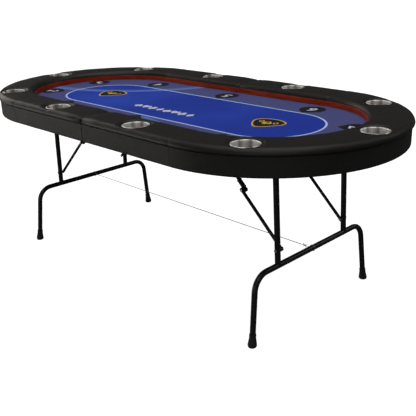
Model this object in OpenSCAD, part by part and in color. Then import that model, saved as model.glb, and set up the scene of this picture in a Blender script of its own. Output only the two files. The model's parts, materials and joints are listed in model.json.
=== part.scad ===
// Folding ten-seat oval card table: two hinged halves with a padded rail, cup holders
// and a printed cloth, standing on two fold-in leg frames with jointed knee braces.
// Millimetres, +Z up. The origin is the centre of the footprint on the floor.
// +X runs along the length to the right-hand leg, +Y to the back.

/* [Table top] */
// Overall length of the table
table_l = 2040; // [1960:10:2100]
// Overall width of the table
table_w = 1040; // [1030:5:1060]
// Height of the padded rail's crown above the floor
table_h = 762; // [740:1:780]
// Width of the rail, from the outer edge to the playing surface
rail_w = 165; // [155:1:175]
// How far the cloth lies below the rail's crown
cloth_drop = 44; // [40:1:48]
// Distance from the rail's crown down to the bottom edge of the apron
apron_drop = 98; // [97:1:104]
// Gap between the two halves at the centre seam
seam_gap = 1; // [0.6:0.1:2]

/* [Cup holders] */
// Inside diameter of a cup
cup_d = 88; // [76:1:90]
// Diameter of a cup's rolled rim
cup_rim_d = 101; // [96:1:104]
// Depth of a cup below its rim
cup_depth = 51; // [45:1:51]
// Distance of the cups from the middle line of the table top
cup_line_r = 448; // [440:1:455]
// Distance of the cups on the long sides from the centre seam
side_cup_x = 252.5; // [200:0.5:300]

/* [Leg frames] */
// Distance of the leg hinge from the centre seam
leg_hinge_x = 693; // [690:1:700]
// Outside diameter of the leg tube
tube_d = 22; // [19:1:22]
// Wall of the leg tube
tube_wall = 1.2; // [1:0.1:1.5]
// Distance of each post from the table's long middle line
post_y = 205; // [200:1:215]
// How far the legs lean outward, in degrees
lean = 2.287; // [1:0.001:3]
// Height of the cross tube's centreline above the floor
cross_z = 262; // [240:1:280]
// Distance of each foot's centre from the long middle line, on the floor
foot_y = 358; // [350:1:360]
// Outward splay of the feet across the table, in degrees
foot_splay = 6.56; // [4:0.01:8]
// Centreline radius of the bends in the foot bow
bow_bend_r = 65; // [55:1:70]

/* [Braces] */
// Distance from the leg hinge to both brace pivots
brace_arm = 358.3; // [340:0.1:370]
// Diameter of the brace tube
brace_d = 13; // [12:0.5:13]
// Length of the sliding lock ring
ring_l = 36; // [20:1:40]

/* [Tie cable] */
// Diameter of the wire rope between the leg frames
cable_d = 2.6; // [1.5:0.1:3]

/* [Hidden] */
$fn = 96;

LEFT = -1;
RIGHT = 1;
FRONT = -1;
BACK = 1;
ends = [FRONT, BACK];
eps = 0.01;
beyond = 2000;

// Plan of the table top: every outline is a line this far from the middle line
outer_r = table_w / 2;
straight = table_l / 2 - outer_r;
field_r = outer_r - rail_w;
seam = seam_gap / 2;

// Layers, from the cloth down and from the cloth up
cloth_z = table_h - cloth_drop;
cloth_t = 1.5;
foam_t = 10.5;
board_t = 8;
foam_top = cloth_z - cloth_t;
board_top = foam_top - foam_t;
board_z = board_top - board_t;
apron_z = table_h - apron_drop;
deck_t = 16;
deck_top = board_top + deck_t;
band_t = 6;
band_top = cloth_z + 22;
apron_t = 9;
rail_overhang = 8;
apron_r = outer_r - rail_overhang;
board_r = apron_r - apron_t;
apron_top = table_h - 29;
piping_d = 4.8;
cloth_gap = 0.5;

// Rail padding
pad_lip = 0.2;
pad_under_z = apron_top + piping_d + pad_lip;
pad_outer_round = table_h - pad_under_z;
pad_inner_round = 31;
foam_split = 0.3;
foam_split_angles = [-90, -30, 30, 90];

// Cups
cup_wall = 0.8;
cup_rim_t = 2.5;
cup_rim_z = table_h - 4.5;
cup_bottom_z = cup_rim_z - cup_depth;
cup_hole_r = cup_d / 2 + cup_wall + 0.5;
cup_recess_r = cup_rim_d / 2 + 1.5;
end_cup_angles = [-60, 0, 60];
cup_spots = concat(
    [for (e = ends) [side_cup_x, e * cup_line_r]],
    [for (a = end_cup_angles) [straight + cup_line_r * cos(a), cup_line_r * sin(a)]]
);

// Leg frame, in its own upright frame that hangs from the hinge
tube_r = tube_d / 2;
tube_bore_r = tube_r - tube_wall;
leg_hinge_z = board_z - 18;
cross_drop = (leg_hinge_z - cross_z) / cos(lean);
floor_drop = leg_hinge_z / cos(lean);
bow_turn = 90 - foot_splay;
bend_drop = cross_drop + bow_bend_r;
bend_end_drop = bend_drop - bow_bend_r * sin(foot_splay);
bend_y = foot_y - bow_bend_r * cos(foot_splay) - (floor_drop - bend_end_drop) * tan(foot_splay);
foot_tube_l = (floor_drop - 6 - bend_end_drop) / cos(foot_splay);
pivot_tube_l = 510;
butt_gap = 0.03;
cross_x = leg_hinge_x + cross_drop * sin(lean);

// Rubber foot: profile radii and heights above the floor
foot_top_r = 13;
foot_neck_h = 34;
foot_flare_r = 17;
foot_flare_h = 9;
foot_base_r = 15;
foot_h = 48;
foot_below = 4;

// Leg brackets
bracket_y = 235;
bracket_w = 24;
bracket_r = 15.5;
bracket_foot = 30;
bracket_t = 3;
hinge_fit = 0.05;

// Knee braces: an isosceles triangle between leg hinge, board pivot and post pivot
brace_r = brace_d / 2;
brace_bore_r = brace_r - 1.2;
brace_angle = (90 - lean) / 2;
brace_half = brace_arm * cos(brace_angle);
board_pivot_x = leg_hinge_x - brace_arm;
post_pivot = [leg_hinge_x + brace_arm * sin(lean), leg_hinge_z - brace_arm * cos(lean)];
brace_end = 9;
pin_r = 3;
head_r = 5;
gap = 0.3;
// Distances from the long middle line, from the post inwards
post_face_y = post_y - tube_r;
lower_y = post_face_y - 2 - brace_r;
rivet_head_t = 1.2;
rivet_face_y = lower_y - brace_r - rivet_head_t;
boss_t = 3.5;
boss_face_y = rivet_face_y - gap;
upper_y = boss_face_y - boss_t - brace_r;
ear_t = 3;
ear_y = upper_y - brace_r - gap - ear_t;
ear_half = 11;
plate_in = 26;
plate_half = 22;
ring_r = 9.8;
ring_fit = 0.08;
ring_from_knee = 8;

// Wooden frame under the boards
side_rail_y = foot_y + 20;
side_rail_w = 20;
side_rail_h = 30;
side_rail_mid_y = side_rail_y + side_rail_w / 2;
side_rail_end = 770;
centre_rail_t = 10;
centre_rail_half = 486;
hinge_block_l = 84;
hinge_block_x = 34;

// Table hinge, below the apron, so that the undersides fold together
hinge_z = apron_z - 4;
hinge_ys = [-430, -160, 160, 430];
hinge_l = 70;
knuckle_r = 3.7;
knuckle_mid = 24;
knuckle_gap = 0.5;
leaf_t = 2;
leaf_w = 30;
leaf_start = 4.3;
hinge_pin_r = 2;

// Alignment pins in the centre rails
align_ys = [-300, 300];
align_r = 4;
align_l = 6;
align_clear = 1.2;
align_z = apron_z + 21;

// Screws: place on the right half, level of the bearing face, length above it
screw_r = 2;
screw_head_r = 4;
screw_head_t = 2;
screw_fit = 0.02;
screws = concat(
    [for (e = ends, d = [-23, 23]) [leg_hinge_x + d, e * bracket_y, board_z - bracket_t, 9]],
    [for (e = ends, d = [-15, 15]) [board_pivot_x + d, e * (ear_y - 14), board_z - bracket_t, 9]],
    [for (e = ends, x = [90, 430, 640])
        [x, e * side_rail_mid_y, board_z - side_rail_h, side_rail_h + 6]],
    [for (y = hinge_ys, d = [-24, 24]) [24, y + d, apron_z - leaf_t, 24]]
);

// Cable fittings
loop_wire_r = 1;
loop_r = tube_r + loop_wire_r + 0.05;
ferrule_r = 2.6;
ferrule_l = 13;
hook_x = 42;
hook_arm_r = 1.3;
hook_arm_l = 19;
hook_angle = 38;
loop_reach = loop_r + loop_wire_r + gap;
cable_from = cross_x - loop_reach - ferrule_l;
cable_to = cross_x - hook_x - 12;

// A piece modelled on the right half, or its mirror image on the left
module side(s) {
    if (s == RIGHT) children();
    else mirror([1, 0, 0]) children();
}

// Round bar along Y, centred on y
module y_bar(r, l, y = 0) {
    translate([0, y, 0]) rotate([90, 0, 0]) cylinder(r = r, h = l, center = true);
}

// Round bar along Y between two distances from the middle line, on side e
module y_pin(r, from, to, e) {
    y_bar(r, abs(to - from), e * (from + to) / 2);
}

// Plan of one half, out to a distance from the middle line
module half_plan(r) {
    intersection() {
        union() {
            translate([0, -r]) square([straight, 2 * r]);
            translate([straight, 0]) circle(r = r, $fn = 180);
        }
        translate([seam, -beyond]) square([beyond, 2 * beyond]);
    }
}

// A flat layer of one half
module half_layer(r, z, t) {
    translate([0, 0, z]) linear_extrude(t) half_plan(r);
}

// A flat ring layer of one half
module half_ring(r_in, r_out, z, t) {
    difference() {
        half_layer(r_out, z, t);
        half_layer(r_in, z - 1, t + 2);
    }
}

// Sweeps a section, drawn as distance from the middle line and height, round one half
module half_sweep() {
    for (m = [0, 1])
        mirror([0, m, 0]) translate([seam, 0, 0]) rotate([90, 0, 90])
            linear_extrude(straight - seam) children();
    translate([straight, 0, 0]) rotate([0, 0, -90])
        rotate_extrude(angle = 180, $fn = 180) children();
}

module cup_cuts(r, z) {
    for (p = cup_spots) translate([p[0], p[1], z]) cylinder(r = r, h = beyond);
}

module screw_cuts() {
    for (p = screws)
        translate([p[0], p[1], p[2] - eps])
            cylinder(r = screw_r + screw_fit, h = p[3] + eps, $fn = 32);
}

module playing_board(s) color("burlywood") side(s) difference() {
    half_layer(board_r, board_z, board_t);
    screw_cuts();
}

module foam_underlay(s) color("whitesmoke") side(s) half_layer(field_r - cloth_gap, board_top, foam_t);

module playing_cloth(s) color("royalblue") side(s) half_layer(field_r - cloth_gap, foam_top, cloth_t);

module race_band(s) color("sienna") side(s)
    half_ring(field_r, field_r + band_t, board_top, band_top - board_top);

module rail_deck(s) color("burlywood") side(s) difference() {
    half_ring(field_r + band_t, board_r, board_top, deck_t);
    cup_cuts(cup_hole_r, 0);
}

// Section of the padding: flat on the deck, rounded over the band and over the outer edge
module pad_section() {
    outer_x = outer_r - pad_outer_round;
    inner_x = field_r + 0.5 + pad_inner_round;
    translate([inner_x, deck_top]) square([board_r - inner_x, pad_under_z - deck_top + eps]);
    translate([inner_x, pad_under_z]) square([outer_x - inner_x, table_h - pad_under_z]);
    intersection() {
        translate([outer_x, pad_under_z]) circle(r = pad_outer_round);
        translate([outer_x - eps, pad_under_z]) square(pad_outer_round + 1);
    }
    intersection() {
        translate([inner_x, table_h - pad_inner_round]) circle(r = pad_inner_round);
        translate([0, band_top + pad_lip]) square([inner_x + eps, beyond]);
    }
    translate([field_r + band_t, deck_top])
        square([pad_inner_round, band_top + pad_lip - deck_top + eps]);
}

// The padding is five butted foam blocks, with a cup in the middle of each
module rail_pad(s) color("dimgray") side(s) difference() {
    half_sweep() pad_section();
    cup_cuts(cup_hole_r, 0);
    cup_cuts(cup_recess_r, cup_rim_z - cup_rim_t);
    for (a = foam_split_angles)
        translate([straight, 0, 0]) rotate([0, 0, a])
            translate([0, -foam_split / 2, 0]) cube([beyond, foam_split, beyond]);
}

module apron(s) color([0.12, 0.12, 0.12]) side(s)
    half_ring(board_r, apron_r, apron_z, apron_top - apron_z);

module rail_piping(s) color([0.2, 0.2, 0.2]) side(s) half_sweep()
    translate([apron_r - piping_d / 2, apron_top + piping_d / 2]) circle(d = piping_d, $fn = 24);

// Pressed steel cup: rolled rim, thin wall, flat bottom with a rounded corner
module cup_holder() {
    wall_r = cup_d / 2 + cup_wall;
    corner = 6;
    rotate_extrude($fn = 120) difference() {
        union() {
            translate([0, corner]) square([wall_r, cup_depth - corner]);
            square([wall_r - corner, corner + eps]);
            translate([wall_r - corner, corner]) circle(r = corner);
            translate([0, cup_depth - cup_rim_t]) square([(cup_rim_d - cup_rim_t) / 2, cup_rim_t]);
            translate([(cup_rim_d - cup_rim_t) / 2, cup_depth - cup_rim_t / 2]) circle(d = cup_rim_t);
        }
        translate([0, corner]) square([wall_r - cup_wall, cup_depth]);
        translate([0, cup_wall]) square([wall_r - corner, corner]);
        translate([wall_r - corner, corner]) circle(r = corner - cup_wall);
        translate([-beyond, -beyond / 2]) square([beyond, beyond]);
    }
}

module cup_holders(s) color("silver") side(s)
    for (p = cup_spots) translate([p[0], p[1], cup_bottom_z]) cup_holder();

// Battens glued and screwed to the board: two side rails, the centre rail and hinge blocks
module under_frame(s) color("tan") side(s) difference() {
    union() {
        for (e = ends) translate([seam, e * side_rail_mid_y - side_rail_w / 2, board_z - side_rail_h])
            cube([side_rail_end - seam, side_rail_w, side_rail_h]);
        translate([seam, -centre_rail_half, apron_z])
            cube([centre_rail_t, 2 * centre_rail_half, board_z - apron_z]);
        for (y = hinge_ys) translate([seam, y - hinge_block_l / 2, apron_z])
            cube([hinge_block_x, hinge_block_l, board_z - apron_z]);
    }
    for (y = align_ys) translate([-1, y, align_z]) rotate([0, 90, 0]) {
        cylinder(r = s == RIGHT ? align_r + align_clear : align_r, h = centre_rail_t, $fn = 48);
    }
    screw_cuts();
}

// Saddles that the pivot tube turns in
module leg_brackets(s) color([0.15, 0.15, 0.15]) side(s) difference() {
    for (e = ends) translate([leg_hinge_x, e * bracket_y, 0]) {
        translate([0, 0, leg_hinge_z]) y_bar(bracket_r, bracket_w);
        translate([-bracket_r, -bracket_w / 2, leg_hinge_z])
            cube([2 * bracket_r, bracket_w, board_z - leg_hinge_z]);
        translate([-bracket_foot, -bracket_w / 2, board_z - bracket_t])
            cube([2 * bracket_foot, bracket_w, bracket_t]);
    }
    translate([leg_hinge_x, 0, leg_hinge_z]) y_bar(tube_r + hinge_fit, beyond);
    screw_cuts();
}

// Angle plates that carry the upper brace pivots
module brace_brackets(s) color([0.15, 0.15, 0.15]) side(s) difference() {
    for (e = ends) translate([board_pivot_x, e * ear_y, 0]) mirror([0, e == FRONT ? 1 : 0, 0]) {
        translate([-plate_half, -plate_in, board_z - bracket_t])
            cube([2 * plate_half, plate_in + ear_t, bracket_t]);
        translate([-ear_half, 0, leg_hinge_z]) cube([2 * ear_half, ear_t, board_z - leg_hinge_z]);
        translate([0, ear_t / 2, leg_hinge_z]) y_bar(ear_half, ear_t);
    }
    translate([board_pivot_x, 0, leg_hinge_z]) y_bar(pin_r + screw_fit, beyond);
    screw_cuts();
}

// Screws into the board and the rivets of the upper brace pivots
module bracket_fasteners(s) color("silver") side(s) {
    for (p = screws) translate([p[0], p[1], p[2]]) {
        cylinder(r = screw_r, h = p[3], $fn = 32);
        translate([0, 0, -screw_head_t]) cylinder(r = screw_head_r, h = screw_head_t, $fn = 32);
    }
    for (e = ends) translate([board_pivot_x, 0, leg_hinge_z]) {
        y_pin(pin_r, ear_y - rivet_head_t, upper_y + brace_r + gap + 1, e);
        y_pin(head_r, ear_y - rivet_head_t, ear_y, e);
        y_pin(head_r, upper_y + brace_r + gap, upper_y + brace_r + gap + 1, e);
    }
}

// One leaf of each butt hinge; the left leaf has the two outer knuckles
module hinge_leaves(s) color("silver") side(s) difference() {
    for (y = hinge_ys) translate([0, y, hinge_z]) {
        translate([leaf_start, -hinge_l / 2, apron_z - hinge_z - leaf_t])
            cube([leaf_w - leaf_start, hinge_l, leaf_t]);
        knuckle_l = s == RIGHT ? knuckle_mid : (hinge_l - knuckle_mid) / 2 - knuckle_gap;
        knuckle_ys = s == RIGHT ? [0] : [-(hinge_l - knuckle_l) / 2, (hinge_l - knuckle_l) / 2];
        for (k = knuckle_ys) {
            y_bar(knuckle_r, knuckle_l, k);
            translate([0, k - knuckle_l / 2, apron_z - hinge_z - leaf_t])
                cube([leaf_start + 1, knuckle_l, leaf_t - gap]);
        }
    }
    translate([0, 0, hinge_z]) y_bar(hinge_pin_r + (s == RIGHT ? hinge_fit : 0), beyond);
    screw_cuts();
}

module hinge_pins() color("gray")
    for (y = hinge_ys) translate([0, 0, hinge_z]) y_bar(hinge_pin_r, hinge_l, y);

// Dowels in the left centre rail that find sockets in the right one
module alignment_pins() color("silver")
    for (y = align_ys) translate([0, y, align_z]) rotate([0, 90, 0]) {
        translate([0, 0, -centre_rail_t + 1]) cylinder(r = align_r, h = centre_rail_t - 1 + seam, $fn = 48);
        translate([0, 0, seam]) cylinder(r1 = align_r, r2 = align_r - 1.5, h = align_l, $fn = 48);
    }

// Places a leg drawn upright under its hinge
module leg_place(s) side(s) translate([leg_hinge_x, 0, leg_hinge_z]) rotate([0, -lean, 0]) children();

module pivot_tube(s) color([0.08, 0.08, 0.08]) leg_place(s) difference() {
    y_bar(tube_r, pivot_tube_l);
    y_bar(tube_bore_r, pivot_tube_l + 2);
}

module leg_posts(s) color([0.08, 0.08, 0.08]) leg_place(s) difference() {
    for (e = ends) translate([0, e * post_y, -cross_drop]) difference() {
        cylinder(r = tube_r, h = cross_drop);
        translate([0, 0, -1]) cylinder(r = tube_bore_r, h = cross_drop + 2);
    }
    y_bar(tube_r, beyond);
    translate([0, 0, -cross_drop]) y_bar(tube_r, beyond);
    translate([0, 0, -brace_arm]) y_bar(pin_r + screw_fit, beyond);
}

// Section of the leg tube
module tube_section() difference() {
    circle(r = tube_r, $fn = 64);
    circle(r = tube_bore_r, $fn = 64);
}

// Cross tube butt-joined to two bent foot tubes, each drawn from its bend's centre
module foot_bow(s) color([0.08, 0.08, 0.08]) leg_place(s) {
    translate([0, 0, -cross_drop]) rotate([90, 0, 0])
        linear_extrude(2 * (bend_y - butt_gap), center = true) tube_section();
    for (m = [0, 1])
        mirror([0, m, 0]) translate([0, bend_y, -bend_drop]) rotate([90, 0, 90]) rotate([0, 0, foot_splay]) {
            rotate_extrude(angle = bow_turn, $fn = 96) translate([bow_bend_r, 0]) tube_section();
            translate([bow_bend_r, 0, 0]) rotate([90, 0, 0]) linear_extrude(foot_tube_l) tube_section();
        }
}

// Flared rubber tips, cut level with the floor
module rubber_feet(s) color([0.05, 0.05, 0.05]) difference() {
    leg_place(s) for (m = [0, 1]) mirror([0, m, 0])
        translate([0, foot_y, -floor_drop]) rotate([foot_splay, 0, 0]) difference() {
            rotate_extrude() polygon([
                [0, -foot_below], [foot_base_r, -foot_below],
                [foot_base_r, 1], [foot_flare_r, foot_flare_h - 5],
                [foot_flare_r, foot_flare_h], [foot_top_r, foot_neck_h],
                [foot_top_r, foot_h], [0, foot_h],
            ]);
            translate([0, 0, 6 / cos(foot_splay)]) cylinder(r = tube_r, h = foot_h);
        }
    translate([-beyond, -beyond, -beyond]) cube([2 * beyond, 2 * beyond, beyond]);
}

// Through bolts at the lower brace pivots, with a spacer and the inner head
module brace_bolts(s) color("silver") leg_place(s) translate([0, 0, -brace_arm]) for (e = ends) {
    y_pin(pin_r, rivet_face_y, post_y + tube_r + 4, e);
    y_pin(head_r, rivet_face_y, lower_y - brace_r - 0.1, e);
    y_pin(head_r, lower_y + brace_r + 0.2, post_face_y, e);
    y_pin(head_r, post_y + tube_r, post_y + tube_r + 4, e);
}

// Brace tube along +X from its own pivot, with a pin hole at each end
module brace_tube() {
    difference() {
        translate([-brace_end, 0, 0]) rotate([0, 90, 0])
            cylinder(r = brace_r, h = brace_half + 2 * brace_end, $fn = 48);
        translate([-brace_end - 1, 0, 0]) rotate([0, 90, 0])
            cylinder(r = brace_bore_r, h = brace_half + 2 * brace_end + 2, $fn = 48);
        for (x = [0, brace_half]) translate([x, 0, 0]) y_bar(pin_r + hinge_fit, beyond);
    }
}

module upper_place(s, e) side(s) translate([board_pivot_x, 0, leg_hinge_z]) rotate([0, brace_angle, 0])
    translate([0, e * upper_y, 0]) children();

module upper_brace(s, e) color([0.08, 0.08, 0.08]) upper_place(s, e) {
    brace_tube();
    translate([brace_half, 0, 0]) {
        difference() {
            y_pin(brace_r, 0, brace_r + boss_t, e);
            y_pin(brace_bore_r, -1, brace_r - 1, e);
        }
        y_pin(head_r, -brace_r - rivet_head_t, -brace_r + 1.2, e);
    }
}

module lower_place(s, e) side(s) translate([post_pivot[0], e * lower_y, post_pivot[1]])
    rotate([0, 180 + brace_angle, 0]) children();

module lower_brace(s, e) color([0.08, 0.08, 0.08]) lower_place(s, e) brace_tube();

module knee_rivet(s, e) color("silver") lower_place(s, e) translate([brace_half, 0, 0]) {
    y_pin(pin_r, -brace_r - rivet_head_t, brace_r + rivet_head_t, e);
    y_pin(head_r, -brace_r - rivet_head_t, -brace_r, e);
    y_pin(head_r, brace_r, brace_r + rivet_head_t, e);
}

// Sleeve that slides over the knee to lock it
module lock_ring(s, e) color([0.1, 0.1, 0.1]) upper_place(s, e)
    translate([brace_half - ring_from_knee - ring_l, 0, 0]) rotate([0, 90, 0]) difference() {
        union() {
            cylinder(r = ring_r - 0.8, h = ring_l, $fn = 64);
            for (z = [0, ring_l - 4]) translate([0, 0, z]) cylinder(r = ring_r, h = 4, $fn = 64);
        }
        translate([0, 0, -1]) cylinder(r = brace_r + ring_fit, h = ring_l + 2, $fn = 64);
    }

module tie_cable() color("gray") translate([-cable_from, 0, cross_z]) rotate([0, 90, 0])
    cylinder(d = cable_d, h = cable_from + cable_to, $fn = 24);

// Wire loop round the middle of a cross tube
module cable_loop(s) color("silver") side(s) translate([cross_x, 0, cross_z]) rotate([90, 0, 0])
    rotate_extrude($fn = 64) translate([loop_r, 0]) circle(r = loop_wire_r, $fn = 20);

// Crimped ferrule at the left loop; wire and crossed hook at the right loop
module cable_fittings() color("silver") {
    translate([-cable_from - ferrule_l, 0, cross_z]) rotate([0, 90, 0])
        cylinder(r = ferrule_r, h = ferrule_l, $fn = 32);
    translate([cable_to, 0, cross_z]) rotate([0, 90, 0])
        cylinder(r = loop_wire_r, h = cross_x - loop_reach - cable_to, $fn = 24);
    for (a = [-hook_angle, hook_angle]) translate([cross_x - hook_x, 0, cross_z]) rotate([0, 90 + a, 0])
        cylinder(r = hook_arm_r, h = hook_arm_l, center = true, $fn = 24);
}

playing_board(LEFT);  // playing_board_left
playing_board(RIGHT);  // playing_board_right
foam_underlay(LEFT);  // foam_underlay_left
foam_underlay(RIGHT);  // foam_underlay_right
playing_cloth(LEFT);  // playing_cloth_left
playing_cloth(RIGHT);  // playing_cloth_right
race_band(LEFT);  // race_band_left
race_band(RIGHT);  // race_band_right
rail_deck(LEFT);  // rail_deck_left
rail_deck(RIGHT);  // rail_deck_right
rail_pad(LEFT);  // rail_pad_left
rail_pad(RIGHT);  // rail_pad_right
apron(LEFT);  // apron_left
apron(RIGHT);  // apron_right
rail_piping(LEFT);  // rail_piping_left
rail_piping(RIGHT);  // rail_piping_right
cup_holders(LEFT);  // cup_holders_left
cup_holders(RIGHT);  // cup_holders_right
under_frame(LEFT);  // under_frame_left
under_frame(RIGHT);  // under_frame_right
leg_brackets(LEFT);  // leg_brackets_left
leg_brackets(RIGHT);  // leg_brackets_right
brace_brackets(LEFT);  // brace_brackets_left
brace_brackets(RIGHT);  // brace_brackets_right
bracket_fasteners(LEFT);  // bracket_fasteners_left
bracket_fasteners(RIGHT);  // bracket_fasteners_right
hinge_leaves(LEFT);  // hinge_leaves_left
hinge_leaves(RIGHT);  // hinge_leaves_right
hinge_pins();
alignment_pins();
pivot_tube(LEFT);  // pivot_tube_left
pivot_tube(RIGHT);  // pivot_tube_right
leg_posts(LEFT);  // leg_posts_left
leg_posts(RIGHT);  // leg_posts_right
foot_bow(LEFT);  // foot_bow_left
foot_bow(RIGHT);  // foot_bow_right
rubber_feet(LEFT);  // rubber_feet_left
rubber_feet(RIGHT);  // rubber_feet_right
brace_bolts(LEFT);  // brace_bolts_left
brace_bolts(RIGHT);  // brace_bolts_right
upper_brace(LEFT, FRONT);  // upper_brace_left_front
upper_brace(LEFT, BACK);  // upper_brace_left_back
upper_brace(RIGHT, FRONT);  // upper_brace_right_front
upper_brace(RIGHT, BACK);  // upper_brace_right_back
lower_brace(LEFT, FRONT);  // lower_brace_left_front
lower_brace(LEFT, BACK);  // lower_brace_left_back
lower_brace(RIGHT, FRONT);  // lower_brace_right_front
lower_brace(RIGHT, BACK);  // lower_brace_right_back
knee_rivet(LEFT, FRONT);  // knee_rivet_left_front
knee_rivet(LEFT, BACK);  // knee_rivet_left_back
knee_rivet(RIGHT, FRONT);  // knee_rivet_right_front
knee_rivet(RIGHT, BACK);  // knee_rivet_right_back
lock_ring(LEFT, FRONT);  // lock_ring_left_front
lock_ring(LEFT, BACK);  // lock_ring_left_back
lock_ring(RIGHT, FRONT);  // lock_ring_right_front
lock_ring(RIGHT, BACK);  // lock_ring_right_back
tie_cable();
cable_fittings();
cable_loop(LEFT);  // cable_loop_left
cable_loop(RIGHT);  // cable_loop_right
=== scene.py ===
import json
import math

import bmesh
import bpy
import numpy as np
from mathutils import Matrix, Vector, noise


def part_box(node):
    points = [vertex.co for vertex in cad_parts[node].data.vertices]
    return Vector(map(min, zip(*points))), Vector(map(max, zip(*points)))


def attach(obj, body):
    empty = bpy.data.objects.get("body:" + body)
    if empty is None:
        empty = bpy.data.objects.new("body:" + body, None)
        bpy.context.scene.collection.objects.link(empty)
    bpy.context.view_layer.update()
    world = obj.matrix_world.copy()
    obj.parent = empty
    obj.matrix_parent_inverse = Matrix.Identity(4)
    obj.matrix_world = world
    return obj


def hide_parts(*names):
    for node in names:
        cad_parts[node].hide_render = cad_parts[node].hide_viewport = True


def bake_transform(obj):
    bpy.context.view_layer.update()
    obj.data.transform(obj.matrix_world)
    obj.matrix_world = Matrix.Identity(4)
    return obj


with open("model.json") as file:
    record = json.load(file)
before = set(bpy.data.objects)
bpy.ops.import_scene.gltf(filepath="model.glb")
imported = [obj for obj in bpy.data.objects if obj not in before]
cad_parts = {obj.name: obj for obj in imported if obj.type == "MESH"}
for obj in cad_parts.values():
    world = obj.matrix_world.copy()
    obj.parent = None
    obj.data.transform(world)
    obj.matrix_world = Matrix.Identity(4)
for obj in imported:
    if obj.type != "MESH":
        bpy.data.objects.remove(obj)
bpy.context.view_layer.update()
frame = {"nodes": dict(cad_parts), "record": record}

# Sizes, in metres, read from the frame
MM = 0.001
pad_low, pad_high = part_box("rail_pad_right")
band_low, band_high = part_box("race_band_right")
apron_low, apron_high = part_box("apron_right")
piping_low, piping_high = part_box("rail_piping_right")
cups_low, cups_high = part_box("cup_holders_right")
cloth_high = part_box("playing_cloth_right")[1]
deck_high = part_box("rail_deck_right")[1]
SEAM = pad_low.x
OUTER_R = pad_high.y
STRAIGHT = pad_high.x - OUTER_R
CROWN_Z = pad_high.z
CLOTH_Z = cloth_high.z
CLOTH_R = cloth_high.y
BAND_T = 6 * MM
APRON_T = 8.7 * MM
RIM_R = 50.5 * MM
CUP_LINE_R = cups_high.y - RIM_R
CUP_SPOTS = [(cups_low.x + RIM_R, e * CUP_LINE_R) for e in (-1, 1)]
CUP_SPOTS += [
    (STRAIGHT + CUP_LINE_R * math.cos(a), CUP_LINE_R * math.sin(a))
    for a in (math.radians(d) for d in (-60, 0, 60))
]
SIDES = {"left": -1, "right": 1}


# Camera: the photograph's standpoint, in front of the right-hand end
CAMERA_AT = (2.0268, -1.8214, 1.2873)
CAMERA_YAW = 135.929
CAMERA_PITCH = -21.0
CAMERA_ROLL = -1.809
CAMERA_LENS = 55.28


def make_camera():
    """The camera, aimed by yaw from +X, pitch from level and roll about its own line of sight."""
    yaw, pitch, roll = (math.radians(a) for a in (CAMERA_YAW, CAMERA_PITCH, CAMERA_ROLL))
    level_share = math.cos(pitch)
    forward = Vector((level_share * math.cos(yaw), level_share * math.sin(yaw), math.sin(pitch)))
    level = forward.cross(Vector((0, 0, 1))).normalized()
    upright = level.cross(forward)
    right = math.cos(roll) * level + math.sin(roll) * upright
    up = math.cos(roll) * upright - math.sin(roll) * level
    data = bpy.data.cameras.new("camera")
    data.lens = CAMERA_LENS
    data.sensor_width = 36
    data.clip_end = 60
    camera = bpy.data.objects.new("camera", data)
    bpy.context.scene.collection.objects.link(camera)
    matrix = Matrix((right, up, -forward)).transposed().to_4x4()
    matrix.translation = CAMERA_AT
    camera.matrix_world = matrix
    bpy.context.scene.camera = camera


# Material helpers
def srgb(r, g, b):
    """A colour given as it is seen on a screen, 0 to 255, as linear light."""
    def channel(c):
        c /= 255
        return c / 12.92 if c <= 0.04045 else ((c + 0.055) / 1.055) ** 2.4

    return (channel(r), channel(g), channel(b), 1)


def scaled(colour, k):
    """A colour made k times as bright."""
    return tuple(min(1, c * k) for c in colour[:3]) + (1,)


def set_socket(tree, node, socket, value):
    """Links value to the socket if it comes out of a node, and sets it if it is a constant."""
    if isinstance(value, bpy.types.NodeSocket):
        tree.links.new(value, node.inputs[socket])
    else:
        node.inputs[socket].default_value = value


def add_node(tree, kind, sockets=(), **settings):
    """Adds a shader node with its settings, and with its sockets linked or set."""
    made = tree.nodes.new("ShaderNode" + kind)
    for name, value in settings.items():
        setattr(made, name, value)
    for socket, value in dict(sockets).items():
        set_socket(tree, made, socket, value)
    return made


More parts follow.
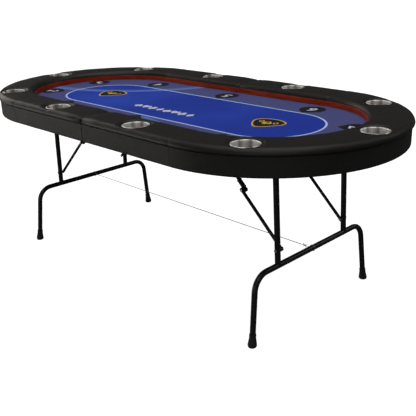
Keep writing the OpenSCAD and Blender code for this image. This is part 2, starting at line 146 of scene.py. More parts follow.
class Shader:
    """A material with one Principled shader, and short ways to add nodes to it."""

    def __init__(self, name, roughness, metallic=0.0, specular=0.5, **sockets):
        self.material = bpy.data.materials.new(name)
        self.material.use_nodes = True
        self.tree = self.material.node_tree
        self.bsdf = self.tree.nodes["Principled BSDF"]
        self.set(self.bsdf, "Roughness", roughness)
        self.set(self.bsdf, "Metallic", metallic)
        self.set(self.bsdf, "Specular IOR Level", specular)
        for socket, value in sockets.items():
            self.set(self.bsdf, socket.replace("_", " "), value)
        self.coordinates = self.tree.nodes.new("ShaderNodeTexCoord")

    def set(self, node, socket, value):
        set_socket(self.tree, node, socket, value)

    def node(self, kind, sockets=(), **settings):
        return add_node(self.tree, kind, sockets, **settings)

    def place(self, stretch=(1, 1, 1), source="Object"):
        return self.node(
            "Mapping", {"Vector": self.coordinates.outputs[source], "Scale": stretch}
        ).outputs[0]

    def noise(self, scale, detail=3.0, roughness=0.5, at=None):
        at = at or self.coordinates.outputs["Object"]
        sockets = {"Vector": at, "Scale": scale, "Detail": detail, "Roughness": roughness}
        return self.node("TexNoise", sockets).outputs["Fac"]

    def cells(self, scale, feature="DISTANCE_TO_EDGE", at=None):
        at = at or self.coordinates.outputs["Object"]
        made = self.node("TexVoronoi", {"Vector": at, "Scale": scale}, feature=feature)
        return made.outputs["Distance"]

    def math(self, operation, a, b=0.0):
        return self.node("Math", {0: a, 1: b}, operation=operation).outputs[0]

    def spread(self, value, low, high, from_low=0.0, from_high=1.0, smooth=False):
        sockets = {"Value": value, "From Min": from_low, "From Max": from_high}
        sockets.update({"To Min": low, "To Max": high})
        kind = "SMOOTHSTEP" if smooth else "LINEAR"
        return self.node("MapRange", sockets, interpolation_type=kind).outputs["Result"]

    def mix(self, share, a, b):
        made = self.node("Mix", data_type="RGBA")
        for socket, value in ((0, share), (6, a), (7, b)):
            self.set(made, socket, value)
        return made.outputs[2]

    def colour(self, value):
        self.set(self.bsdf, "Base Color", value)
        return self

    def rough(self, value):
        self.set(self.bsdf, "Roughness", value)
        return self

    def bump(self, height, distance, strength=1.0, under=None):
        sockets = {"Height": height, "Distance": distance, "Strength": strength}
        made = self.node("Bump", sockets)
        if under:
            self.set(made, "Normal", under)
        self.set(self.bsdf, "Normal", made.outputs[0])
        return made.outputs[0]


# Materials
def vinyl(name, colour, roughness, specular):
    """Grained upholstery vinyl: pebbled cells with fine creases, slightly worn tone."""
    s = Shader(name, roughness, specular=specular)
    tone = s.noise(7, 4, 0.6)
    s.colour(s.mix(tone, scaled(colour, 0.8), scaled(colour, 1.25)))
    s.rough(s.spread(s.noise(26, 3), roughness - 0.06, roughness + 0.08))
    pebbles = s.spread(s.cells(820), 0, 1, 0, 0.28, smooth=True)
    creases = s.noise(1900, 2)
    fine = s.math("ADD", s.math("MULTIPLY", pebbles, 0.8), s.math("MULTIPLY", creases, 0.35))
    soft = s.bump(s.noise(34, 2), 0.6 * MM, 0.35)
    s.bump(fine, 0.14 * MM, 0.55, under=soft)
    return s.material


def weave_height(s):
    """Over and under of a fine plain weave."""
    at = {"Vector": s.coordinates.outputs["Object"], "Scale": 420.0}
    warp = s.node("TexWave", at, bands_direction="X")
    weft = s.node("TexWave", at, bands_direction="Y")
    return s.math("MULTIPLY", warp.outputs["Fac"], weft.outputs["Fac"])


FIELD_BLUE = srgb(40, 72, 182)
FIELD_DEEP = srgb(30, 56, 160)
ZONE_VIOLET = srgb(70, 74, 126)
ZONE_LATTICE = srgb(94, 100, 152)
LINE_BLUE = srgb(185, 205, 250)
SWEEP_BLUE = srgb(104, 136, 210)
PRINT_AT = (0.01, -0.013)
LINE_AT = 207 * MM
LINE_HALF_W = 4.2 * MM
LATTICE_PITCH = 260.0
# Each sweep: centre and radius of the circle it runs along, its width, its strength and the
# x it starts at
SWEEPS = [
    ((-0.914, 0.656), 0.746, 66 * MM, 0.7, -1.0),
    ((-0.15, -1.3), 1.095, 60 * MM, 0.6, -0.01),
]


def sweep_share(s, x, y, centre, radius, width, strength, start):
    """How strongly one pale sweep shows: a band along a circle, crisp outside and fading inside."""
    dx, dy = s.math("SUBTRACT", x, centre[0]), s.math("SUBTRACT", y, centre[1])
    far = s.math("SQRT", s.math("ADD", s.math("MULTIPLY", dx, dx), s.math("MULTIPLY", dy, dy)))
    outside = s.math("SUBTRACT", far, radius)
    sharp = s.spread(outside, 1, 0, 0, 6 * MM)
    fade = s.spread(outside, 0, strength, -width, -0.2 * width, smooth=True)
    begun = s.spread(x, 0, 1, start, start + 60 * MM, smooth=True)
    return s.math("MULTIPLY", begun, s.math("MULTIPLY", sharp, fade))


def printed_cloth(name):
    """The printed cloth: a royal blue field, the betting line round it, a violet zone with a
    fine lattice outside it, and two pale sweeps."""
    s = Shader(name, 0.8, specular=0.12)
    at = s.node("SeparateXYZ", {0: s.coordinates.outputs["Object"]})
    x = s.math("SUBTRACT", at.outputs[0], PRINT_AT[0])
    y = s.math("SUBTRACT", at.outputs[1], PRINT_AT[1])
    past = s.math("MAXIMUM", s.math("SUBTRACT", s.math("ABSOLUTE", x), STRAIGHT), 0.0)
    out = s.math("SQRT", s.math("ADD", s.math("MULTIPLY", past, past), s.math("MULTIPLY", y, y)))
    tone = s.spread(s.noise(2.2, 2), 0, 1, 0.3, 0.7, smooth=True)
    field = s.mix(tone, FIELD_DEEP, FIELD_BLUE)
    rising = s.math("MULTIPLY", s.math("ADD", x, y), LATTICE_PITCH)
    across = s.math("ABSOLUTE", s.math("SINE", rising))
    falling = s.math("MULTIPLY", s.math("SUBTRACT", x, y), LATTICE_PITCH)
    along = s.math("ABSOLUTE", s.math("SINE", falling))
    lattice = s.spread(s.math("MINIMUM", across, along), 0.8, 0, 0.05, 0.4, smooth=True)
    zone = s.mix(lattice, ZONE_VIOLET, ZONE_LATTICE)
    colour = s.mix(s.spread(out, 0, 1, LINE_AT - 1 * MM, LINE_AT + 1 * MM), field, zone)
    for sweep in SWEEPS:
        colour = s.mix(sweep_share(s, x, y, *sweep), colour, SWEEP_BLUE)
    off_line = s.math("ABSOLUTE", s.math("SUBTRACT", out, LINE_AT))
    line = s.spread(off_line, 1, 0, LINE_HALF_W - 0.5 * MM, LINE_HALF_W + 0.5 * MM)
    colour = s.mix(line, colour, LINE_BLUE)
    s.colour(s.mix(s.spread(s.noise(900, 2), 0, 0.12), colour, srgb(20, 24, 60)))
    s.rough(s.spread(s.noise(60, 2), 0.74, 0.86))
    s.bump(weave_height(s), 0.2 * MM, 0.5)
    return s.material


def ink(name, colour, metallic=0.0):
    """Print on the cloth, with the weave showing through it."""
    s = Shader(name, 0.72, metallic=metallic, specular=0.2)
    s.colour(s.mix(s.noise(240, 2), scaled(colour, 0.72), scaled(colour, 1.1)))
    s.rough(s.spread(s.noise(90, 2), 0.62, 0.8))
    s.bump(weave_height(s), 0.2 * MM, 0.5)
    return s.material


def wood(name, dark, light, roughness, stretch, rings=9.0, specular=0.4, coat=0.0):
    """Sawn wood or board: long streaks of grain over a soft tone."""
    s = Shader(name, roughness, specular=specular, Coat_Weight=coat, Coat_Roughness=0.25)
    at = s.place(stretch)
    grain = s.noise(rings, 6, 0.62, at=at)
    fibres = s.noise(rings * 14, 3, 0.6, at=at)
    share = s.math("ADD", s.math("MULTIPLY", grain, 0.7), s.math("MULTIPLY", fibres, 0.3))
    s.colour(s.mix(s.spread(share, 0, 1, 0.34, 0.66, smooth=True), dark, light))
    s.rough(s.spread(fibres, roughness - 0.06, roughness + 0.1))
    s.bump(fibres, 0.12 * MM, 0.4)
    return s.material


def cup_steel(name):
    """Brushed stainless: fine lines drawn round and up the wall, in the cup's own angles, under broad pale
    and dark stripes up the wall that are painted reflections of the studio panels.
    """
    s = Shader(name, 0.2, metallic=0.3, specular=0.8)
    lines = s.noise(6, 3, 0.6, at=s.place((34, 0.25, 1), "UV"))
    # Painted reflection: broad pale and dark stripes up the wall, standing in for the studio panels
    # mirrored in the steel
    painted_reflection_stripes = s.noise(3, 1, 0.5, at=s.place((2.4, 0.1, 1), "UV"))
    share = s.math("ADD", s.math("MULTIPLY", lines, 0.25), s.math("MULTIPLY", painted_reflection_stripes, 0.75))
    # Base colour from warm beige to near white, carrying the brushed lines and the painted reflection
    # stripes
    s.colour(s.mix(s.spread(share, 0, 1, 0.4, 0.49), srgb(132, 119, 104), srgb(255, 253, 249)))
    s.rough(s.spread(lines, 0.16, 0.28))
    s.bump(lines, 0.01 * MM, 0.15)
    return s.material


def powder_coat(name, colour, roughness):
    """Gloss powder coat with its faint orange peel and a few rubbed spots."""
    s = Shader(name, roughness, specular=0.3)
    s.colour(s.mix(s.noise(14, 4), scaled(colour, 0.7), scaled(colour, 1.5)))
    s.rough(s.spread(s.noise(40, 4), roughness - 0.06, roughness + 0.1))
    s.bump(s.noise(620, 2), 0.05 * MM, 0.25)
    return s.material


def bright_metal(name, dark, light, roughness, scale=160):
    """Zinc plate or drawn wire: bright, with cloudy tone and fine scratches."""
    s = Shader(name, roughness, metallic=1.0)
    s.colour(s.mix(s.noise(scale, 4), dark, light))
    s.rough(s.spread(s.noise(scale * 3, 3), roughness - 0.08, roughness + 0.14))
    s.bump(s.noise(scale * 9, 2), 0.03 * MM, 0.3)
    return s.material


def wire_rope(name):
    """Strands laid at an angle round a wire rope."""
    s = Shader(name, 0.42, metallic=0.85)
    strands = {"Vector": s.place((1, 0.5, 0.5)), "Scale": 260.0, "Distortion": 0.4}
    lay = s.node("TexWave", strands, bands_direction="DIAGONAL").outputs["Fac"]
    s.colour(s.mix(lay, srgb(46, 46, 48), srgb(120, 120, 122)))
    s.rough(s.spread(s.noise(500, 2), 0.34, 0.5))
    s.bump(lay, 0.25 * MM, 0.8)
    return s.material


def matte(name, dark, light, roughness, scale, height):
    """Rubber, foam and the like: matte, with a fine grain."""
    s = Shader(name, roughness, specular=0.3)
    s.colour(s.mix(s.noise(scale, 5, 0.6), dark, light))
    s.rough(s.spread(s.noise(scale * 2, 2), roughness - 0.08, min(1, roughness + 0.08)))
    s.bump(s.noise(scale * 6, 2), height, 0.5)
    return s.material


MATERIALS = {
    "rail_vinyl": vinyl("rail_vinyl", srgb(26, 24, 22), 0.4, 0.22),
    "apron_vinyl": vinyl("apron_vinyl", srgb(31, 31, 30), 0.52, 0.24),
    "playing_cloth": printed_cloth("printed_cloth"),
    "race_band_wood": wood(
        "race_band_wood", srgb(120, 34, 12), srgb(168, 58, 26), 0.5, (1, 1, 7), 7.0, 0.12
    ),
    "board_wood": wood("board_wood", srgb(140, 108, 74), srgb(186, 152, 110), 0.68, (1, 6, 6), 11.0, 0.25),
    "frame_wood": wood("frame_wood", srgb(164, 122, 76), srgb(214, 176, 122), 0.6, (1, 9, 9), 7.0, 0.3),
    "cup_steel": cup_steel("cup_steel"),
    "black_steel": powder_coat("black_steel", srgb(22, 22, 23), 0.26),
    "zinc_steel": bright_metal("zinc_steel", srgb(150, 150, 150), srgb(215, 214, 210), 0.3),
    "cable_steel": bright_metal("cable_steel", srgb(120, 120, 122), srgb(190, 190, 190), 0.38),
    "foot_rubber": matte("foot_rubber", srgb(20, 20, 20), srgb(38, 37, 36), 0.78, 120, 0.1 * MM),
    "underlay_foam": matte("underlay_foam", srgb(205, 205, 200), srgb(236, 236, 232), 0.9, 260, 0.3 * MM),
}
INK_BLACK = ink("ink_black", srgb(18, 16, 22))
INK_WHITE = ink("ink_white", srgb(205, 208, 224))
INK_GOLD = ink("ink_gold", srgb(214, 176, 62))
WIRE_ROPE = wire_rope("wire_rope")


def finish_cad_nodes():
    """Every CAD node that stays in view takes the material of its slot in the record."""
    for part in frame["record"]["subparts"]:
        piece = frame["nodes"][part["node"]]
        piece.data.materials.clear()
        piece.data.materials.append(MATERIALS[part["material_slot"]])


# Mesh helpers
def new_piece(name, vertices, faces, material, smooth=True):
    mesh = bpy.data.meshes.new(name)
    mesh.from_pydata([tuple(v) for v in vertices], [], faces)
    mesh.polygons.foreach_set("use_smooth", [smooth] * len(mesh.polygons))
    mesh.materials.append(material)
    mesh.update()
    piece = bpy.data.objects.new(name, mesh)
    bpy.context.scene.collection.objects.link(piece)
    return piece


def edit(piece, work):
    """Runs work on the piece's mesh as a bmesh."""
    bm = bmesh.new()
    bm.from_mesh(piece.data)
    work(bm)
    bm.to_mesh(piece.data)
    bm.free()
    piece.data.update()


def settle(piece, side, body=None, nodes=()):
    """Mirrors a piece made on the right half to the left if need be, and ties it to its body."""
    if side < 0:
        piece.data.transform(Matrix.Scale(-1, 4, (1, 0, 0)))
        edit(piece, lambda bm: bmesh.ops.reverse_faces(bm, faces=bm.faces))
    if body:
        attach(piece, body)
    if nodes:
        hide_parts(*nodes)
    return piece


def graded(a, b, pitch, fine, reach):
    """Numbers from a to b, about pitch apart, and finer within reach of both ends."""
    found = [a]
    while found[-1] < b - fine / 2:
        near = min(found[-1] - a, b - found[-1])
        found.append(min(b, found[-1] + fine + (pitch - fine) * min(1, near / reach)))
    found[-1] = b
    return found


def smoothstep(t):
    t = np.clip(t, 0, 1)
    return t * t * (3 - 2 * t)


class RailPath:
    """Stations round one half, from the centre seam at the front to the centre seam at the back.
    A section is drawn as distance from the middle line and height, and stands on each station."""

    def __init__(self, pitch, fine, reach=30 * MM):
        xs = graded(SEAM, STRAIGHT, pitch, fine, reach)
        turn = graded(0, math.pi * CUP_LINE_R, pitch, fine, reach)
        side = STRAIGHT - SEAM
        self.x = np.array(xs + [STRAIGHT] * (len(turn) - 2) + xs[::-1])
        angles = [-math.pi / 2] * len(xs) + [t / CUP_LINE_R - math.pi / 2 for t in turn[1:-1]]
        self.angle = np.array(angles + [math.pi / 2] * len(xs))
        run = [x - SEAM for x in xs] + [side + t for t in turn[1:-1]]
        self.length = 2 * side + turn[-1]
        self.run = np.array(run + [self.length - (x - SEAM) for x in xs[::-1]])
        self.to_end = np.minimum(self.run, self.length - self.run)
        self.to_panel_seam = np.minimum(abs(self.run - side), abs(self.length - side - self.run))

    def points(self, r, z):
        """Points for arrays r and z of shape (stations, section points)."""
        x = self.x[:, None] + r * np.cos(self.angle)[:, None]
        y = r * np.sin(self.angle)[:, None]
        return np.stack([x, y, z], -1)


def arc(centre, radius, start, end, count):
    """Points of an arc in a section, angles in degrees."""
    turns = np.radians(np.linspace(start, end, count))
    return [(centre[0] + radius * math.cos(a), centre[1] + radius * math.sin(a)) for a in turns]


def outward(section):
    """Unit normals of a closed section whose points run clockwise."""
    p = np.array(section)
    along = np.roll(p, -1, 0) - np.roll(p, 1, 0)
    n = np.stack([-along[:, 1], along[:, 0]], -1)
    return n / np.linalg.norm(n, axis=1)[:, None]


def swept_faces(stations, count, keep=None):
    """Quads of a closed section swept along the stations, with both ends capped."""
    faces = []
    for i in range(stations - 1):
        for j in range(count):
            k = (j + 1) % count
            quad = (i * count + j, i * count + k, (i + 1) * count + k, (i + 1) * count + j)
            if keep is None or all(keep[v] for v in quad):
                faces.append(quad)
    faces.append(tuple(range(count))[::-1])
    last = (stations - 1) * count
    faces.append(tuple(last + j for j in range(count)))
    return faces


def end_inset(to_end, radius):
    """How far a section draws in so that a swept piece's end has a rounded edge."""
    left = np.clip(radius - to_end, 0, radius)
    return radius - np.sqrt(np.maximum(radius**2 - left**2, 0))


def swept_points(path, section, offset=None):
    """A closed section's points at each station, each moved outward by offset."""
    p = np.array(section)
    n = outward(section)
    offset = np.zeros((len(path.run), 1)) if offset is None else offset
    return path.points(p[None, :, 0] + n[None, :, 0] * offset, p[None, :, 1] + n[None, :, 1] * offset)


def hollow(distance, reach, depth):
    """A soft-edged groove: depth deep at distance 0, and gone a little past reach."""
    return np.exp(-((distance / reach) ** 2)) * depth


def sweep_section(name, path, section, offset, material):
    """Sweeps a closed section along a path, each point moved outward by offset."""
    points = swept_points(path, section, offset)
    return new_piece(name, points.reshape(-1, 3), swept_faces(len(path.run), len(section)), material)


def ripple(points, scale, seed):
    """Smooth noise from about -1 to 1 at each point."""
    shift = Vector((seed * 3.7, seed * 1.3, seed * 5.1))
    flat = points.reshape(-1, 3)
    found = [noise.noise(Vector(p) * scale + shift) for p in flat]
    return np.array(found).reshape(points.shape[:-1])


# The padded rail
PAD_INNER_ROUND = 31 * MM
PAD_OUTER_ROUND = 24 * MM
HOLE_R = 46.2 * MM
HOLE_FROM_R = 20 * MM
HOLE_REACH = 66 * MM
DIMPLE = 8.4 * MM
DIMPLE_REACH = 21 * MM
CROWNING = 1.4 * MM
PAD_GAP = 0.3 * MM
PAD_TUCK = 25.5 * MM
INNER_POINTS = 12
TOP_POINTS = 23
OUTER_POINTS = 11
LIP_POINTS = 4


def pad_section():
    """Section of the pad, clockwise from the inner tuck: over the top, then back under. Also
    says how many of its points lie on the top."""
    under = deck_high.z + PAD_GAP
    lip = piping_high.z + PAD_GAP
    tuck_z = band_high.z + PAD_GAP
    inner = (band_high.y + PAD_TUCK, CROWN_Z - PAD_INNER_ROUND)
    outer = (OUTER_R - PAD_OUTER_ROUND, CROWN_Z - PAD_OUTER_ROUND)
    start = 180 - math.degrees(math.asin((tuck_z - inner[1]) / PAD_INNER_ROUND))
    points = arc(inner, PAD_INNER_ROUND, start, 90, INNER_POINTS)
    for k in range(1, TOP_POINTS + 1):
        t = k / (TOP_POINTS + 1)
        r = inner[0] + (outer[0] - inner[0]) * t
        points.append((r, CROWN_Z + CROWNING * math.sin(math.pi * t) ** 0.8))
    points += arc(outer, PAD_OUTER_ROUND, 90, 8, OUTER_POINTS)
    points += arc((OUTER_R - 3.2 * MM, lip + 3 * MM), 3 * MM, -10, -90, LIP_POINTS)
    points += [(OUTER_R - k * MM, lip) for k in (6, 9, 12)]
    deck_out = deck_high.y - 1 * MM
    deck_in = band_high.y + 1 * MM
    points += [(deck_out, lip), (deck_out, under), (deck_in, under), (deck_in, tuck_z)]
    return points, INNER_POINTS + TOP_POINTS + OUTER_POINTS


def pad_offset(path, points):
    """Sewing and stuffing of the pad: grooves at the panel seams, puckers beside them, rounded
    and slightly lumpy ends, and the soft unevenness of foam under vinyl."""
    groove = hollow(path.to_panel_seam, 1.6 * MM, 1.5 * MM)
    drawn_in = hollow(path.to_panel_seam, 14 * MM, 0.5 * MM)
    end_pull = hollow(path.to_end, 38 * MM, 3.6 * MM)
    plain = -(groove + drawn_in + end_pull + end_inset(path.to_end, 12 * MM))[:, None]
    beside = 0.35 * np.exp(-path.to_panel_seam / (14 * MM)) + np.exp(-path.to_end / (26 * MM))
    puckers = ripple(points * np.array([0.35, 1, 1]), 60, 2) * beside[:, None] * 2.0 * MM
    lumps = ripple(points, 11, 5) * 0.8 * MM + ripple(points, 34, 7) * 0.28 * MM
    return plain + puckers + lumps * smoothstep(path.to_end / (20 * MM))[:, None]


def open_cup_holes(points, top):
    """Draws the pad's top back from each cup's middle to a round hole and dips it to the rim.
    Returns which points stay."""
    keep = np.ones(points.shape[:2], bool)
    for x, y in CUP_SPOTS:
        dx, dy = points[..., 0] - x, points[..., 1] - y
        far = np.hypot(dx, dy)
        near = top & (far < HOLE_REACH)
        keep &= ~(near & (far < HOLE_FROM_R))
        share = (far - HOLE_FROM_R) / (HOLE_REACH - HOLE_FROM_R)
        moved = HOLE_R + share * (HOLE_REACH - HOLE_R)
        grow = np.where(near, moved / np.maximum(far, 1e-6), 1)
        points[..., 0] = x + dx * grow
        points[..., 1] = y + dy * grow
        far = np.where(near, moved, far)
        dip = 1 - smoothstep((far - RIM_R) / DIMPLE_REACH)
        points[..., 2] -= np.where(top & (far < RIM_R + DIMPLE_REACH), dip * DIMPLE, 0)
    return keep


def turn_in_hole_edges(bm):
    """Rounds each hole's edge to its true radius and turns the vinyl down into it."""
    rim = [e for e in bm.edges if len(e.link_faces) == 1]
    for v in {v for e in rim for v in e.verts}:
        x, y = min(CUP_SPOTS, key=lambda c: math.hypot(v.co.x - c[0], v.co.y - c[1]))
        out = Vector((v.co.x - x, v.co.y - y, 0)).normalized() * HOLE_R
        v.co.x, v.co.y = x + out.x, y + out.y
    for drop in (2.5 * MM, 9 * MM):
        made = bmesh.ops.extrude_edge_only(bm, edges=rim)["geom"]
        lowered = [g for g in made if isinstance(g, bmesh.types.BMVert)]
        bmesh.ops.translate(bm, verts=lowered, vec=(0, 0, -drop))
        rim = [g for g in made if isinstance(g, bmesh.types.BMEdge) and len(g.link_faces) == 1]


def make_rail_pad():
    """One half of the padded rail, with a round hole for each cup."""
    path = RailPath(6 * MM, 0.9 * MM)
    section, top_count = pad_section()
    offset = pad_offset(path, swept_points(path, section))
    offset[:, top_count + LIP_POINTS:] = -end_inset(path.to_end, 6 * MM)[:, None] * 0.2
    points = swept_points(path, section, offset)
    top = np.zeros(points.shape[:2], bool)
    top[:, 2:top_count] = True
    keep = open_cup_holes(points, top)
    faces = swept_faces(len(path.run), len(section), keep.reshape(-1))
    pad = new_piece("rail_pad", points.reshape(-1, 3), faces, MATERIALS["rail_vinyl"])

    def clean(bm):
        loose = [v for v in bm.verts if not v.link_faces]
        bmesh.ops.delete(bm, geom=loose, context="VERTS")
        turn_in_hole_edges(bm)

    edit(pad, clean)
    return pad


def make_apron():
    """The skirt board in its vinyl, with a shallow joint at each panel seam."""
    path = RailPath(12 * MM, 0.6 * MM, 40 * MM)
    low, high = apron_low.z, apron_high.z
    inner, outer = apron_high.y - APRON_T, apron_high.y
    round_r = 2.2 * MM
    section = arc((inner + round_r, high - round_r), round_r, 180, 90, 4)
    section += arc((outer - round_r, high - round_r), round_r, 90, 0, 5)
    section += [(outer, high + (low - high) * t) for t in (0.1, 0.25, 0.4, 0.55, 0.7, 0.85)]
    section += arc((outer - round_r, low + round_r), round_r, 0, -90, 5)
    section += arc((inner + round_r, low + round_r), round_r, -90, -180, 4)
    rest = swept_points(path, section)
    groove = hollow(path.to_panel_seam, 1.0 * MM, 0.7 * MM)
    offset = -(groove + end_inset(path.to_end, 2 * MM))[:, None]
    offset = offset + ripple(rest, 16, 9) * 0.25 * MM
    return sweep_section("apron", path, section, offset, MATERIALS["apron_vinyl"])


def make_piping():
    """The round bead between the pad and the apron."""
    path = RailPath(8 * MM, 1.2 * MM)
    radius = (piping_high.z - piping_low.z) / 2
    centre = (piping_high.y - radius, (piping_high.z + piping_low.z) / 2)
    section = arc(centre, radius, 180, -155, 15)
    rest = swept_points(path, section)
    offset = -hollow(path.to_panel_seam, 1.5 * MM, 0.7 * MM)[:, None]
    offset = offset - end_inset(path.to_end, 1.5 * MM)[:, None] + ripple(rest, 140, 3) * 0.12 * MM
    return sweep_section("rail_piping", path, section, offset, MATERIALS["apron_vinyl"])


def make_race_band():
    """The red-brown wall between the cloth and the pad."""
    path = RailPath(10 * MM, 1.0 * MM)
    low, high = band_low.z, band_high.z
    inner, outer = band_high.y - BAND_T, band_high.y
    round_r = 1.6 * MM
    section = arc((inner + round_r, high - round_r), round_r, 180, 90, 5)
    section += arc((outer - round_r, high - round_r), round_r, 90, 0, 5)
    section += [(outer, low), (inner, low)] + [(inner, low + (high - low) * t) for t in (0.3, 0.6)]
    offset = -end_inset(path.to_end, 0.8 * MM)[:, None] * np.ones(len(section))
    return sweep_section("race_band", path, section, offset, MATERIALS["race_band_wood"])


def make_cloth():
    """The printed cloth, stretched over the foam and turned down over the seam edge."""
    path = RailPath(16 * MM, 1.5 * MM)
    rows = 22
    r = np.tile(np.linspace(0, CLOTH_R, rows), (len(path.run), 1))
    points = path.points(r, np.full(r.shape, CLOTH_Z))
    faces = []
    for i in range(len(path.run) - 1):
        for j in range(rows - 1):
            faces.append((i * rows + j, i * rows + j + 1, (i + 1) * rows + j + 1, (i + 1) * rows + j))
    cloth = new_piece("playing_cloth", points.reshape(-1, 3), faces, MATERIALS["playing_cloth"])

    def fold(bm):
        bmesh.ops.remove_doubles(bm, verts=bm.verts, dist=0.02 * MM)
        bmesh.ops.recalc_face_normals(bm, faces=bm.faces)
        open_edges = [e for e in bm.edges if len(e.link_faces) == 1]
        edge = [e for e in open_edges if all(v.co.x < SEAM + 0.1 * MM for v in e.verts)]
        for v in {v for e in edge for v in e.verts}:
            v.co.z -= 0.5 * MM
        for step in ((-0.05 * MM, -1 * MM), (0, -5 * MM)):
            made = bmesh.ops.extrude_edge_only(bm, edges=edge)["geom"]
            moved = [g for g in made if isinstance(g, bmesh.types.BMVert)]
            bmesh.ops.translate(bm, verts=moved, vec=(step[0], 0, step[1]))
            edge = [g for g in made if isinstance(g, bmesh.types.BMEdge) and len(g.link_faces) == 1]
            edge = [e for e in edge if abs(e.verts[0].co.z - e.verts[1].co.z) < 0.1 * MM]
        bmesh.ops.recalc_face_normals(bm, faces=bm.faces)

    edit(cloth, fold)
    return cloth


# Pressed steel cups
def cup_section():
    """Section of a cup, from the middle of its underside, up the outside, over the rolled rim
    and down the inside to the ringed base."""
    wall = 0.8 * MM
    low, high = cups_low.z, cups_high.z
    outer = 44.8 * MM
    inner = outer - wall
    roll = 1.25 * MM
    points = [(0, low), (30 * MM, low)] + arc((outer - 6 * MM, low + 6 * MM), 6 * MM, -90, 0, 6)
    points += [(outer, high - 2 * roll), (RIM_R - 2.4 * roll, high - 2 * roll)]
    points += arc((RIM_R - roll, high - roll), roll, -90, 90, 8)
    points += arc((inner + 2.4 * MM, high - 2.4 * MM), 2.4 * MM, 90, 180, 6)
    points += [(inner, high + (low - high) * t) for t in (0.2, 0.4, 0.6, 0.8)]
    points += arc((inner - 5.2 * MM, low + wall + 5.2 * MM), 5.2 * MM, 0, -90, 6)
    base = low + wall
    for ring in (34, 30, 26, 10):
        bead = ((0.9, 0), (0.4, 0.35), (-0.4, 0.35), (-0.9, 0))
        points += [((ring + d) * MM, base + h * MM) for d, h in bead]
    return points + [(0, base)]


def make_cups():
    """The five cups of one half, turned from one section."""
    section = cup_section()
    turns = 96
    vertices, faces, places = [], [], []
    lengths = np.cumsum([0] + [math.dist(a, b) for a, b in zip(section, section[1:])])
    for x, y in CUP_SPOTS:
        first = len(vertices)
        for k in range(turns):
            a = 2 * math.pi * k / turns
            vertices += [(x + r * math.cos(a), y + r * math.sin(a), z) for r, z in section]
        for k in range(turns):
            for j in range(len(section) - 1):
                here = first + k * len(section) + j
                there = first + (k + 1) % turns * len(section) + j
                faces.append((here, there, there + 1, here + 1))
                u0, u1 = k / turns, (k + 1) / turns
                v0, v1 = lengths[j] / lengths[-1], lengths[j + 1] / lengths[-1]
                places += [(u0, v0), (u1, v0), (u1, v1), (u0, v1)]
    cups = new_piece("cup_holders", vertices, faces, MATERIALS["cup_steel"])
    layer = cups.data.uv_layers.new(name="cup_angles")
    layer.data.foreach_set("uv", np.array(places, np.float32).reshape(-1))

    def clean(bm):
        bmesh.ops.remove_doubles(bm, verts=bm.verts, dist=0.001 * MM)
        bmesh.ops.recalc_face_normals(bm, faces=bm.faces)

    edit(cups, clean)
    return cups


# Printed marks on the cloth
def round_points(r, count=36, at=(0, 0)):
    turns = [2 * math.pi * k / count for k in range(count)]
    return [(at[0] + r * math.cos(a), at[1] + r * math.sin(a)) for a in turns]


def drop_outline(r, tip):
    """A round mark with one point, at -Y."""
    start = math.asin(r / tip)
    points = [(r * math.cos(a), r * math.sin(a)) for a in np.linspace(-start, math.pi + start, 33)]
    return points + [(0, -tip)]


def shield_outline(w, h):
    """A round-shouldered shield: w across, h tall, its point at -Y."""
    points = []
    for k in range(25):
        t = k / 24
        a = math.pi * t
        shoulder = 1 + 0.12 * math.sin(2 * a) ** 2
        points.append((w / 2 * math.cos(a) * shoulder, h * 0.42 * math.sin(a) + h * 0.06))
    for k in range(1, 12):
        t = k / 12
        points.append((-w / 2 * (1 - t) ** 0.62, h * 0.06 - h * 0.56 * t))
    points.append((0, -h / 2))
    for k in range(11, 0, -1):
        t = k / 12
        points.append((w / 2 * (1 - t) ** 0.62, h * 0.06 - h * 0.56 * t))
    return points


def heart_outline(h):
    points = []
    for k in range(48):
        a = 2 * math.pi * k / 48
        x = math.sin(a) ** 3
        y = (13 * math.cos(a) - 5 * math.cos(2 * a) - 2 * math.cos(3 * a) - math.cos(4 * a)) / 16
        points.append((x * h * 0.5, (y + 0.12) * h * 0.5))
    return points


def stem(h):
    return [(-h * 0.16, -h * 0.5), (h * 0.16, -h * 0.5), (h * 0.03, -h * 0.1), (-h * 0.03, -h * 0.1)]


def pip(kind, h):
    """The outlines of one card suit, h tall."""
    if kind == "heart":
        return [heart_outline(h)]
    if kind == "diamond":
        return [[(h * 0.36, 0), (0, h * 0.5), (-h * 0.36, 0), (0, -h * 0.5)]]
    if kind == "spade":
        return [[(x * 0.92, -y * 0.82 + h * 0.06) for x, y in heart_outline(h)], stem(h)]
    leaves = [(0, 0.26), (-0.22, -0.08), (0.22, -0.08)]
    return [round_points(h * 0.215, 24, (x * h, y * h)) for x, y in leaves] + [stem(h)]


def print_place(at, turn, layer):
    """Where a mark lies: a higher layer is a hair above a lower one."""
    z = CLOTH_Z + (0.06 + 0.05 * layer) * MM
    place = Matrix.Translation((at[0] + PRINT_AT[0], at[1] + PRINT_AT[1], z))
    return place @ Matrix.Rotation(turn, 4, "Z")


def mark(bm, outlines, at, turn, layer):
    """Adds flat outlines to a print, turned and placed."""
    place = print_place(at, turn, layer)
    for k, outline in enumerate(outlines):
        lift = Vector((0, 0, 0.008 * MM * k))
        corners = [bm.verts.new(place @ Vector((x, y, 0)) + lift) for x, y in outline]
        bm.faces.new(corners)


def numeral(bm, text, size, at, turn, layer):
    """Adds a seat's number to a print."""
    curve = bpy.data.curves.new("numeral", "FONT")
    curve.body = text
    curve.size = size
    curve.align_x = "CENTER"
    curve.align_y = "CENTER"
    curve.offset = size * 0.022
    holder = bpy.data.objects.new("numeral", curve)
    mesh = bpy.data.meshes.new_from_object(holder)
    mesh.transform(print_place(at, turn, layer))
    bm.from_mesh(mesh)
    bpy.data.objects.remove(holder)
    bpy.data.curves.remove(curve)
    bpy.data.meshes.remove(mesh)


